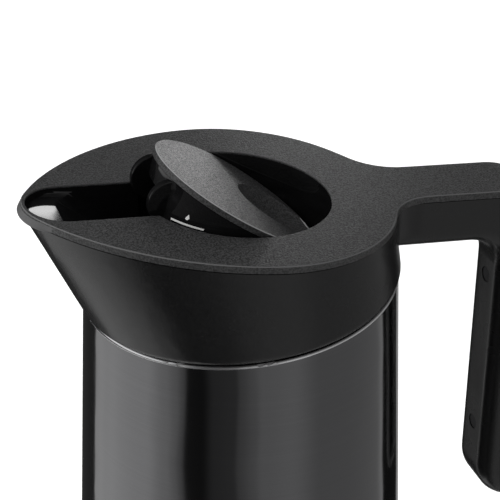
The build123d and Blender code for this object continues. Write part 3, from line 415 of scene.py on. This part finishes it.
def grained_charcoal(name):
    """Charcoal plastic with fine raised grain; returns its material, tree, shader and fields."""
    material, tree, shader = surface(name, (0.04, 0.04, 0.04), 0.4)
    fine = grain_field(tree, 0.5, (1, 1, 1), 1.0)
    coarse = grain_field(tree, 0.62, (1, 1, 1), 1.0)
    both = share_of(tree, fine, coarse, "ADD")
    color = blend_colors(tree, both, (0.017, 0.017, 0.0172), (0.054, 0.054, 0.055), grain_low, grain_high)
    rough = spread(tree, both, 0.5, 0.32, grain_low, grain_high)
    bump = relief(tree, shader, both, grain_strength, 0.15)
    return material, tree, shader, color, rough, bump


def chamfer_highlight_band(tree, rise):
    """The narrow band of a chamfer, just below a top face, where a painted highlight goes."""
    below = share_of(tree, rise, -highlight_band_start, "LESS_THAN")
    above = share_of(tree, rise, -highlight_band_depth, "GREATER_THAN")
    return share_of(tree, below, above, "MULTIPLY")


def reach_from(tree, along, across, middle, front_only):
    """Distance in plan from a point on the middle line, or from the line behind it if front only."""
    offset = share_of(tree, along, middle, "SUBTRACT")
    if front_only:
        offset = share_of(tree, offset, 0.0, "MINIMUM")
    both = share_of(tree, share_of(tree, offset, 2.0, "POWER"), share_of(tree, across, 2.0, "POWER"), "ADD")
    return share_of(tree, both, 0.5, "POWER")


top_height = 0.22374
top_slant = radians(5.80)
grain_depth = 0.0008
bend_start = 0.0968
hole_middle = -0.00241
hole_reach = 0.03385
slot_middle = -0.06245
slot_reach = 0.01335
spout_reach = 0.0705
polish_rough = 0.05
plate_look = grained_charcoal("plate_charcoal")
plate_skin, plate_tree, plate_shader, plate_color, plate_rough, plate_bump = plate_look
plate_place = plate_tree.nodes.new("ShaderNodeTexCoord")
plate_spot = plate_tree.nodes.new("ShaderNodeSeparateXYZ")
plate_tree.links.new(plate_place.outputs["Object"], plate_spot.inputs["Vector"])
plate_along = plate_spot.outputs["X"]
plate_across = plate_spot.outputs["Y"]

# The walls of hole and slot are polished and the lip of the spout is smooth, all below the grained top.
top_rise = height_over(plate_tree, top_height, top_slant)
sunk = share_of(plate_tree, top_rise, -grain_depth, "LESS_THAN")
from_hole = reach_from(plate_tree, plate_along, plate_across, hole_middle, False)
from_slot = reach_from(plate_tree, plate_along, plate_across, slot_middle, True)
in_hole = share_of(plate_tree, from_hole, hole_reach, "LESS_THAN")
in_slot = share_of(plate_tree, from_slot, slot_reach, "LESS_THAN")
in_front = share_of(plate_tree, plate_along, hole_middle, "LESS_THAN")
in_slot = share_of(plate_tree, in_slot, in_front, "MULTIPLY")
polished = share_of(plate_tree, share_of(plate_tree, in_hole, in_slot, "MAXIMUM"), sunk, "MULTIPLY")
past_slot = share_of(plate_tree, plate_along, -spout_reach, "LESS_THAN")
on_spout = share_of(plate_tree, past_slot, sunk, "MULTIPLY")
ungrained = share_of(plate_tree, polished, on_spout, "MAXIMUM")
before_bend = share_of(plate_tree, plate_along, bend_start, "LESS_THAN")
# Painted highlight: a lighter grey line on the chamfer just below the top, in front of the bend.
plate_edge_highlight = share_of(plate_tree, chamfer_highlight_band(plate_tree, top_rise), before_bend, "MULTIPLY")

plate_tone = color_where(plate_tree, plate_edge_highlight, plate_color, (0.12, 0.12, 0.121))
plate_tone = color_where(plate_tree, on_spout, plate_tone, (0.085, 0.085, 0.086))
plate_tone = color_where(plate_tree, polished, plate_tone, (0.006, 0.006, 0.0062))
plate_tree.links.new(plate_tone, plate_shader.inputs["Base Color"])
plate_polish = plate_tree.nodes.new("ShaderNodeMix")
plate_polish.inputs["B"].default_value = polish_rough
plate_tree.links.new(polished, plate_polish.inputs["Factor"])
plate_tree.links.new(plate_rough, plate_polish.inputs["A"])
plate_tree.links.new(plate_polish.outputs["Result"], plate_shader.inputs["Roughness"])
still_grained = share_of(plate_tree, 1.0, ungrained, "SUBTRACT")
plate_strength = share_of(plate_tree, still_grained, grain_strength, "MULTIPLY")
plate_tree.links.new(plate_strength, plate_bump.inputs["Strength"])
finish_node("top_plate", plate_skin)


# Collar screws: steel screws driven up through the collar's deck into the bosses of the top plate, out
# of sight. The handle's two screws hold its inner shell and are blackened.
black_screw = grained(
    "blackened_screw", (0.03, 0.03, 0.032), 0.35, (0.3, (1, 1, 1), 4.0),
    (0.022, 0.022, 0.024), (0.045, 0.045, 0.047), (0.28, 0.45), (0.2, 0.03), 1.0,
)
finish_node("collar_screws", screw_steel)
finish_node("handle_screws", black_screw)


# Stopper: its housing is polished like the well over it, while cage and neck nut are dark grey with a
# fine texture. The valve in it is a plastic stem with disc and button, pushed up by a steel spring, and
# steel pins carry the rocker.
stopper_plastic = grained(
    "stopper_plastic", (0.04, 0.04, 0.041), 0.45, (0.3, (1, 1, 1), 3.0),
    (0.032, 0.032, 0.033), (0.054, 0.054, 0.055), (0.38, 0.52), (0.25, 0.04),
)
for name in ("stopper_cage", "neck_nut", "valve_stem", "valve_button"):
    finish_node(name, stopper_plastic)
finish_node("stopper_housing", gloss_skin)
finish_node("valve_spring", screw_steel)
finish_node("pivot_pins", screw_steel)


# Rocker: grained disc snapped on a polished body that carries two rounded cheeks at its front. The disc
# is folded across its middle, with the thumb dish in its rear half.
def crease(name, line_x, line_z):
    """Marks the edges on a level line across the part as sharp, so that its faces meet in a crease."""
    near = 0.00002
    points = nodes[name].data.vertices
    for edge in nodes[name].data.edges:
        ends = [points[number].co for number in edge.vertices]
        if all(abs(end.x - line_x) < near and abs(end.z - line_z) < near for end in ends):
            edge.use_edge_sharp = True


fold_x = 0.000198
fold_z = 0.223398
open_tilt = radians(32.5)
rear_tilt = radians(34.5)
pivot = Vector((-0.001414, 0, 0.220868))
rocker_back = Vector((cos(open_tilt), 0, -sin(open_tilt)))
rocker_up = Vector((sin(open_tilt), 0, cos(open_tilt)))
disc_shift = -0.0022
disc_highlight_start = 0.0311
cap_skin, cap_tree, cap_shader, cap_color, cap_rough = grained_charcoal("disc_charcoal")[:5]
cap_tree.links.new(cap_rough, cap_shader.inputs["Roughness"])
finish_node("rocker_cap", cap_skin)
crease("rocker_cap", fold_x, fold_z)

# The chamfer round the disc gets a lighter line as a painted highlight: below both halves of the top, near
# the edge.
front_rise = height_over(cap_tree, fold_z + fold_x * tan(open_tilt), open_tilt)
rear_rise = height_over(cap_tree, fold_z + fold_x * tan(rear_tilt), rear_tilt)
cap_rise = share_of(cap_tree, front_rise, rear_rise, "MAXIMUM")
cap_place = cap_tree.nodes.new("ShaderNodeTexCoord")
cap_offset = cap_tree.nodes.new("ShaderNodeVectorMath")
cap_offset.operation = "DISTANCE"
cap_offset.inputs[1].default_value = pivot + rocker_back * disc_shift
cap_tree.links.new(cap_place.outputs["Object"], cap_offset.inputs[0])
cap_outside = share_of(cap_tree, cap_offset.outputs["Value"], disc_highlight_start, "GREATER_THAN")
disc_edge_highlight = share_of(cap_tree, chamfer_highlight_band(cap_tree, cap_rise), cap_outside, "MULTIPLY")
cap_tone = color_where(cap_tree, disc_edge_highlight, cap_color, (0.3, 0.3, 0.302))
cap_tree.links.new(cap_tone, cap_shader.inputs["Base Color"])
finish_node("rocker_body", gloss_skin)


# Print on the rocker: a white pad-printed bar on the skirt, level with the plate while pouring, and a
# plain drop over it. Each is a layer of ink a few hundredths of a millimetre thick.
skirt_reach = 0.0317
skirt_start = 0.0004
skirt_draft = tan(radians(16))
pour_swing = radians(26.7)
ink_proud = 0.00006
ink_depth = 0.00004


def on_skirt(turn, rise):
    """Point just outside the conical skirt, at a turn round the disc and a rise from the pivot."""
    reach = skirt_reach - (skirt_start - rise) * skirt_draft + ink_proud
    aside = Vector((0, reach * sin(turn), 0))
    return pivot + rocker_back * (disc_shift + reach * cos(turn)) + aside + rocker_up * rise


def level_rise(turn, rise):
    """Rise at which a line stays level with the plate while the rocker is open."""
    wide = skirt_reach - skirt_start * skirt_draft
    drop = sin(pour_swing) * (disc_shift + wide * cos(turn))
    return (rise + drop) / (cos(pour_swing) - sin(pour_swing) * skirt_draft * cos(turn))


def sort_by_place(parts, place):
    """Numbers points or faces by where they are, since solidify numbers them anew in every run."""
    ranks = {part: rank for rank, part in enumerate(sorted(parts, key=lambda part: tuple(place(part))))}
    parts.sort(key=ranks.get)


def print_piece(name, form):
    """Wraps a flat form, drawn in turn and rise, round the skirt as a thin layer of ink."""
    for point in form.verts:
        point.co = on_skirt(point.co.x, level_rise(point.co.x, point.co.y))
    bmesh.ops.recalc_face_normals(form, faces=form.faces)
    bmesh.ops.solidify(form, geom=form.faces[:], thickness=ink_depth)
    bmesh.ops.recalc_face_normals(form, faces=form.faces)
    sort_by_place(form.verts, lambda point: point.co)
    sort_by_place(form.faces, lambda face: face.calc_center_median())
    mesh = bpy.data.meshes.new(name)
    form.to_mesh(mesh)
    form.free()
    piece = bpy.data.objects.new(name, mesh)
    studio_scene.collection.objects.link(piece)
    mesh.materials.append(white_ink)
    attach(piece, "rocker")


white_ink, ink_tree, ink_shader = surface("white_ink", (0.8, 0.8, 0.79), 0.35)
ink_specks = grain_field(ink_tree, 0.25, (1, 1, 1), 4.0)
ink_tone = blend_colors(ink_tree, ink_specks, (0.72, 0.72, 0.71), (0.86, 0.86, 0.85))
ink_tree.links.new(ink_tone, ink_shader.inputs["Base Color"])
ink_tree.links.new(spread(ink_tree, ink_specks, 0.3, 0.42), ink_shader.inputs["Roughness"])

bar_rise = 0.00225
bar_half = 0.00034
bar_start = radians(-149.7)
bar_end = radians(-125.3)
bar_form = bmesh.new()
bmesh.ops.create_grid(bar_form, x_segments=24, y_segments=2, size=1.0)
bmesh.ops.scale(bar_form, vec=((bar_end - bar_start) / 2, bar_half, 1), verts=bar_form.verts)
bmesh.ops.translate(bar_form, vec=((bar_end + bar_start) / 2, bar_rise, 0), verts=bar_form.verts)
print_piece("printed_bar", bar_form)

drop_turn = radians(-138.5)
drop_rise = bar_rise + 0.0024
drop_radius = 0.0007
drop_taper = 0.55
drop_form = bmesh.new()
bmesh.ops.create_circle(drop_form, cap_ends=True, cap_tris=True, segments=32, radius=drop_radius)
for point in drop_form.verts:
    narrow = max(point.co.y, 0) / drop_radius
    point.co.y += drop_radius * narrow ** 3
    point.co.x *= (1 - drop_taper * narrow ** 2) / skirt_reach
bmesh.ops.translate(drop_form, vec=(drop_turn, drop_rise, 0), verts=drop_form.verts)
print_piece("printed_drop", drop_form)
